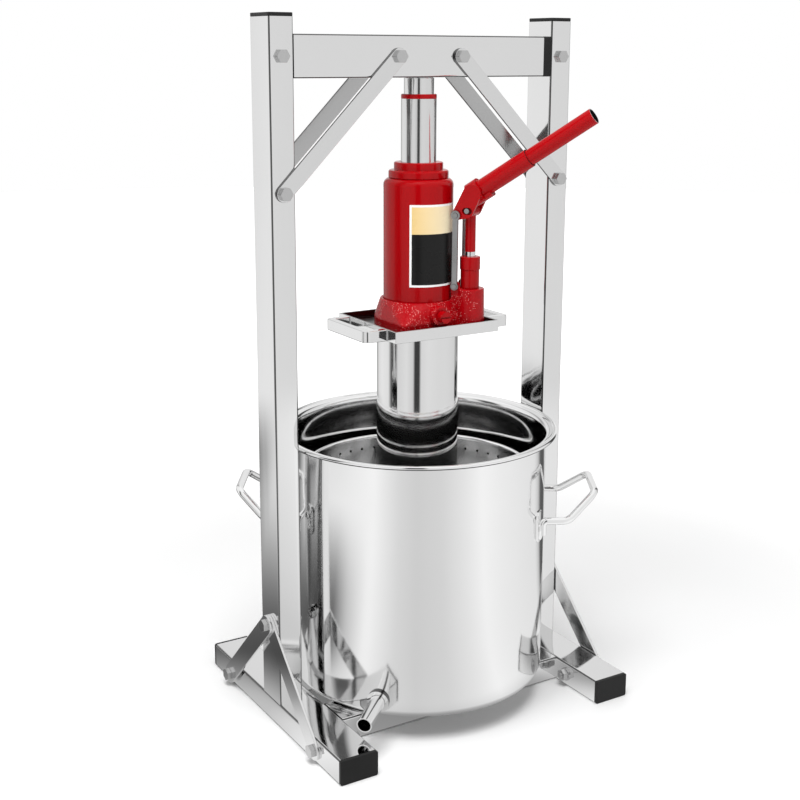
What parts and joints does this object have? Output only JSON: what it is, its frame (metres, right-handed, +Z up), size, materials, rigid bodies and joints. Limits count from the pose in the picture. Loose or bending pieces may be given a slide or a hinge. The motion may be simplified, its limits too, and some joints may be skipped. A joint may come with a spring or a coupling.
{
  "type": "hydraulic fruit press",
  "caption": "Hydraulic fruit press: a bottle jack under a polished tube frame drives a plunger into a basket inside a stock pot with a drain spout.",
  "frame": {"origin": "on the floor, in the middle between the posts and between the ends of the feet", "axes": "+Z up, +X from the left post to the right post, +Y from the front to the back"},
  "size_m": [0.4086, 0.326, 0.7859],
  "materials": {
    "mirror_steel": "mirror-polished stainless steel",
    "black_plastic": "satin",
    "red_paint": "gloss paint",
    "ram_chrome": "hard chrome",
    "bare_steel": "plain",
    "black_rubber": "matt",
    "label_film": "gloss film"
  },
  "bodies": {
    "frame": {"left_post": "mirror_steel", "right_post": "mirror_steel", "top_beam": "mirror_steel", "left_foot": "mirror_steel", "right_foot": "mirror_steel", "front_cross_tube": "mirror_steel", "rear_cross_tube": "mirror_steel", "front_left_brace": "mirror_steel", "front_right_brace": "mirror_steel", "rear_left_brace": "mirror_steel", "rear_right_brace": "mirror_steel", "left_front_strut": "mirror_steel", "left_rear_strut": "mirror_steel", "right_front_strut": "mirror_steel", "right_rear_strut": "mirror_steel", "strut_spacers": "mirror_steel", "beam_bolts": "mirror_steel", "brace_bolts": "mirror_steel", "strut_bolts": "mirror_steel", "foot_bolts": "mirror_steel", "bolt_washers": "mirror_steel", "bolt_nuts": "mirror_steel", "juice_pot": "mirror_steel", "right_pot_handle": "mirror_steel", "left_pot_handle": "mirror_steel", "spout": "mirror_steel", "spout_flange": "mirror_steel", "spout_nut": "mirror_steel", "basket": "mirror_steel", "post_top_caps": "black_plastic", "beam_end_collar": "black_plastic", "foot_end_caps": "black_plastic", "beam_tenons": "bare_steel"},
    "press_head": {"press_plate": "mirror_steel", "plunger": "mirror_steel", "jack_tray": "mirror_steel", "left_tray_handle": "mirror_steel", "right_tray_handle": "mirror_steel", "jack_base": "red_paint", "oil_reservoir": "red_paint", "gland_nut": "red_paint", "pump_cylinder": "red_paint", "pressure_cylinder": "bare_steel", "link_straps": "bare_steel", "link_lower_pin": "bare_steel", "lever_pivot_pin": "bare_steel", "filler_plug": "black_rubber", "jack_label": "label_film"},
    "ram": {"ram": "ram_chrome", "ram_ring": "red_paint", "ram_seal": "black_rubber"},
    "extension_screw": {"extension_screw": "ram_chrome"},
    "lever": {"lever_bracket": "red_paint", "lever_socket": "red_paint"},
    "handle": {"handle_bar": "red_paint"},
    "pump_piston": {"pump_rod": "red_paint", "piston_pin": "bare_steel"},
    "release_valve": {"release_valve": "red_paint"}
  },
  "joints": [
    {"name": "press_stroke", "type": "slide", "parent": "frame", "child": "press_head", "axis": [0, 0, -1], "range_m": [-0.066, 0.045]},
    {"name": "ram_slide", "type": "slide", "parent": "press_head", "child": "ram", "axis": [0, 0, 1], "range_m": [-0.066, 0.045]},
    {"name": "screw_slide", "type": "slide", "parent": "ram", "child": "extension_screw", "axis": [0, 0, 1], "range_m": [-0.017, 0]},
    {"name": "lever_swing", "type": "hinge", "parent": "press_head", "child": "lever", "pos_m": [0.03554, -0.0326, 0.57], "axis": [-0.8192, -0.5736, 0], "range_deg": [-30, 20]},
    {"name": "pump_stroke", "type": "slide", "parent": "press_head", "child": "pump_piston", "axis": [0, 0, 1], "range_m": [-0.0064, 0.0043]},
    {"name": "handle_pull", "type": "slide", "parent": "lever", "child": "handle", "axis": [0.4783, -0.6831, 0.5519], "range_m": [0, 0.045]},
    {"name": "valve_turn", "type": "hinge", "parent": "press_head", "child": "release_valve", "pos_m": [-0.004, -0.057, 0.461], "axis": [0, -1, 0], "range_deg": [0, 360]}
  ],
  "couplings": [
    {"joint": "ram_slide", "follows": "press_stroke", "ratio": 1},
    {"joint": "pump_stroke", "follows": "lever_swing", "m_per_rad": 0.012}
  ]
}
